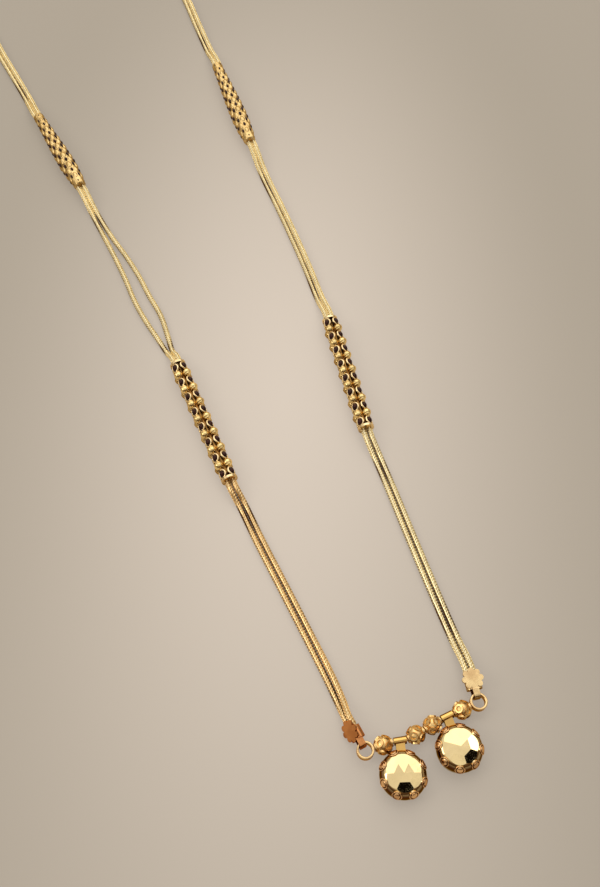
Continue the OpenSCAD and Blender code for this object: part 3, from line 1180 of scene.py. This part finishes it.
@dataclass
class CupBosses:
    """The bright rims and low domes of the bosses round a cup's shoulder."""

    cup: str
    count: int = 8
    shoulder: float = 2.8
    waist_radius: float = 5.9
    waist: float = 2.7
    lift: float = 32.0
    rim_radius: float = 1.2
    rim_wire: float = 0.28
    rim_steps: int = 20
    rim_rounding: int = 2
    dome_width: float = 1.7
    dome_height: float = 0.5
    dome_sink: float = 0.12
    dome_faces: Faces = (16, 10)
    reach: float = 6.0
    on_floor: float = 0.01
    past_cup: float = 7.2

    def pose(self, necklace: Necklace) -> tuple[Vector, float]:
        """Find the cup's middle on the floor and the way that its neck points.

        Args:
            necklace: What the cup is part of.

        Returns:
            The middle, and the neck's angle.
        """
        places, _ = necklace.points(self.cup)
        middle = box_middle(places[places[:, 2] < self.on_floor * MM])
        apart = places - middle
        towards = box_middle(apart[np.hypot(apart[:, 0], apart[:, 1]) > self.past_cup * MM])
        return Vector((middle[0], middle[1], 0.0)), math.atan2(towards[1], towards[0])

    def on_cup(self, solid: Piece, start: Vector, axis: Vector) -> Vector:
        """Find the cup's surface on a line.

        Args:
            solid: The cup.
            start: Where the line starts, inside the cup.
            axis: The way that the line runs.

        Returns:
            The place on the surface, or on the shoulder's round where the line misses the cup.
        """
        hit, place, _, _ = solid.ray_cast(start + self.reach * MM * axis, -axis)
        return place if hit else start + self.shoulder * MM * axis

    def build(self, necklace: Necklace) -> None:
        """Lay a rim and a dome on each boss of the cup.

        Args:
            necklace: What the cup is part of.
        """
        solid = necklace.nodes[self.cup]
        middle, neck = self.pose(necklace)
        curve = bpy.data.curves.new(self.cup + "_rims", "CURVE")
        curve.dimensions = "3D"
        curve.bevel_depth = self.rim_wire / 2 * MM
        curve.bevel_resolution = self.rim_rounding
        lift = math.radians(self.lift)
        spots = []
        for boss in range(self.count):
            angle = neck + math.tau * (boss + 0.5) / self.count
            out = Vector((math.cos(angle), math.sin(angle), 0.0))
            axis = math.cos(lift) * out + math.sin(lift) * UP
            across = Vector((-out.y, out.x, 0.0))
            upright = axis.cross(across)
            start = middle + ((self.waist_radius - self.shoulder) * out + self.waist * UP) * MM
            spline = curve.splines.new("POLY")
            spline.points.add(self.rim_steps - 1)
            spline.use_cyclic_u = True
            for step, knot in enumerate(spline.points):
                turn = math.tau * step / self.rim_steps
                aside = self.rim_radius * MM * (math.cos(turn) * across + math.sin(turn) * upright)
                knot.co = (*self.on_cup(solid, start + aside, axis), 1.0)
            top = self.on_cup(solid, start, axis)
            spots.append(frame_at(top - self.dome_sink * MM * axis, across, axis))
        rims = linked(curve.name, curve)
        activate(rims)
        bpy.ops.object.convert(target="MESH")
        bpy.ops.object.shade_smooth()
        dome = ball((self.dome_width, self.dome_width, self.dome_height), self.dome_faces, lying=False)
        domes = scattered(self.cup + "_domes", dome, spots)
        necklace.fit(merged(self.cup + "_boss_rims", [rims, domes]), BOSS_GOLD)


@dataclass(frozen=True)
class Lamp:
    """A soft box that faces the necklace: its place, its width, its power in watts and its colour."""

    name: str
    place: Point
    width: float
    power: float
    colour: Colour
    aim: Point = (0.0, -0.08, 0.0)

    def hang(self) -> None:
        """Add the lamp to the scene."""
        data = bpy.data.lights.new(self.name, "AREA")
        data.shape = "SQUARE"
        data.size, data.energy, data.color = self.width, self.power, self.colour
        lamp = linked(self.name, data)
        lamp.location = self.place
        facing = Vector(self.aim) - Vector(self.place)
        lamp.rotation_euler = facing.to_track_quat("-Z", "Y").to_euler()


@dataclass
class Studio:
    """A pale floor, soft light and the camera."""

    floor_size: float = 60.0
    floor_middle: Colour = (0.348, 0.304, 0.258)
    floor_edge: Colour = (0.207, 0.180, 0.145)
    # The floor glows with its own tone, though it is no lamp, so that shadows on it stay faint.
    floor_glow: float = 1.2
    floor_roughness: float = 0.9
    floor_sheen: float = 0.1
    # Painted pool of light: the floor's tone falls from the middle to the edge over this range.
    vignette: Range = (-0.15, 1.35)
    vignette_centre: Range = (0.002, -0.060)
    vignette_reach: Range = (0.083, 0.204)
    camera_place: Point = (-0.0545, -0.2055, 0.2407)
    camera_heading: Range = (0.3917, 0.9201)
    camera_pitch: float = 60.0
    camera_clip: Range = (0.01, 100.0)
    focal_pixels: float = 920.0
    image_height: float = 887.0
    sensor: float = 36.0
    tent: tuple[tuple[float, Colour], ...] = (
        (0.0, (0.08, 0.045, 0.025)), (0.30, (0.12, 0.070, 0.040)), (0.46, (0.50, 0.44, 0.36)),
        (0.62, (0.78, 0.77, 0.74)), (1.0, (0.84, 0.84, 0.86)))
    tent_lean: Point = (0.05, 0.42, 0.906)
    tent_strength: float = 1.0
    horizon: Range = (0.16, 0.30)
    horizon_tone: Colour = (0.376, 0.323, 0.258)
    openings: tuple[tuple[Point, float], ...] = (
        ((0.025, -0.300, 0.954), 0.098), ((0.36, -0.275, 0.8915), 0.088))
    opening_edge: float = 0.85
    opening_tone: Colour = (0.004, 0.003, 0.002)
    lamps: tuple[Lamp, ...] = (
        Lamp("far_box", (0.25, 0.55, 0.75), 1.2, 3.6, (1.0, 0.97, 0.92)),
        Lamp("left_box", (-0.7, 0.1, 0.55), 0.35, 1.2, (1.0, 0.93, 0.84)),
        Lamp("right_box", (0.615, -0.116, 0.795), 0.14, 0.14, (1.0, 0.97, 0.90)))

    def heading(self) -> float:
        """Give the angle that the camera is turned by, from the way of Y."""
        return math.atan2(-self.camera_heading[0], self.camera_heading[1])

    def camera(self) -> None:
        """Stand the camera where the photograph was taken from."""
        data = bpy.data.cameras.new("camera")
        data.sensor_width = self.sensor
        data.lens = self.sensor * self.focal_pixels / self.image_height
        data.clip_start, data.clip_end = self.camera_clip
        camera = linked("camera", data)
        camera.location = self.camera_place
        camera.rotation_euler = (math.radians(90.0 - self.camera_pitch), 0.0, self.heading())
        bpy.context.scene.camera = camera

    def floor(self) -> None:
        """Lay the floor, glowing with its own tone so that shadows on it stay faint, and a little darker away
        from the middle of the picture, a painted pool of light in the middle.
        """
        deselect()
        bpy.ops.mesh.primitive_plane_add(size=self.floor_size)
        floor = bpy.context.object
        floor.name = "floor"
        shader = Shader("floor")
        oval = shader.add("ShaderNodeMapping", {
            "Vector": shader.place, "Location": (*self.vignette_centre, 0.0),
            "Rotation": (0.0, 0.0, self.heading()), "Scale": (*self.vignette_reach, 1.0)},
            vector_type="TEXTURE").outputs["Vector"]
        apart = shader.add("ShaderNodeVectorMath", {0: oval}, operation="LENGTH").outputs["Value"]
        tone = shader.blend(shader.spread(apart, *self.vignette), self.floor_middle, self.floor_edge)
        floor.data.materials.append(shader.finish({
            "Base Color": tone, "Emission Color": tone, "Emission Strength": self.floor_glow,
            "Roughness": self.floor_roughness, "Specular IOR Level": self.floor_sheen}))

    def sky(self) -> None:
        """Surround the scene with a bright tent, dark round its foot and with two dark openings.

        Near the horizon it has the floor's own tone, so that a low view shows no edge.
        """
        world = bpy.data.worlds.new("studio")
        bpy.context.scene.world = world
        world.use_nodes = True
        nodes = Nodes(world.node_tree)
        way = nodes.add("ShaderNodeTexCoord").outputs["Generated"]
        lean = nodes.add("ShaderNodeVectorMath", {0: way, 1: self.tent_lean}, operation="DOT_PRODUCT")
        ramp = nodes.add("ShaderNodeValToRGB", {"Fac": lean.outputs["Value"]})
        elements = ramp.color_ramp.elements
        first, *inner, last = self.tent
        elements[0].position, elements[1].position = first[0], last[0]
        for position, _ in inner:
            elements.new(position)
        for element, (_, colour) in zip(elements, self.tent):
            element.color = (*colour, 1.0)
        above = nodes.spread(nodes.upward(way), *self.horizon)
        shade = nodes.blend(above, self.horizon_tone, ramp.outputs["Color"])
        for spot, size in self.openings:
            near = nodes.add("ShaderNodeVectorMath", {0: way, 1: spot}, operation="DISTANCE")
            beyond = nodes.spread(near.outputs["Value"], self.opening_edge * size, size)
            shade = nodes.blend(beyond, self.opening_tone, shade)
        light = nodes.add("ShaderNodeBackground", {"Color": shade, "Strength": self.tent_strength})
        nodes.add("ShaderNodeOutputWorld", {"Surface": light.outputs["Background"]})

    def build(self) -> None:
        """Set up the whole studio."""
        self.camera()
        self.floor()
        self.sky()
        bpy.context.scene.view_settings.view_transform = "Standard"
        for lamp in self.lamps:
            lamp.hang()


def main() -> None:
    """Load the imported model, dress it, model the chains and bead tubes, and light it."""
    logging.basicConfig(level=logging.INFO, format="%(name)s: %(message)s")
    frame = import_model()
    necklace = Necklace(frame["nodes"])
    Studio().build()
    Fittings().build(necklace)
    for cup in Fittings.cups:
        CupBosses(cup).build(necklace)
    foxtail = FoxtailLink()
    link = foxtail.model()
    for node in [name for name in necklace.nodes if name.endswith("_strand")]:
        ChainStrand(node).build(necklace, link, foxtail.pitch)
    discard(link)
    for side in Side:
        LowerTube(side).build(necklace)
        UpperTube(side).build(necklace)


if __name__ == "__main__":
    main()
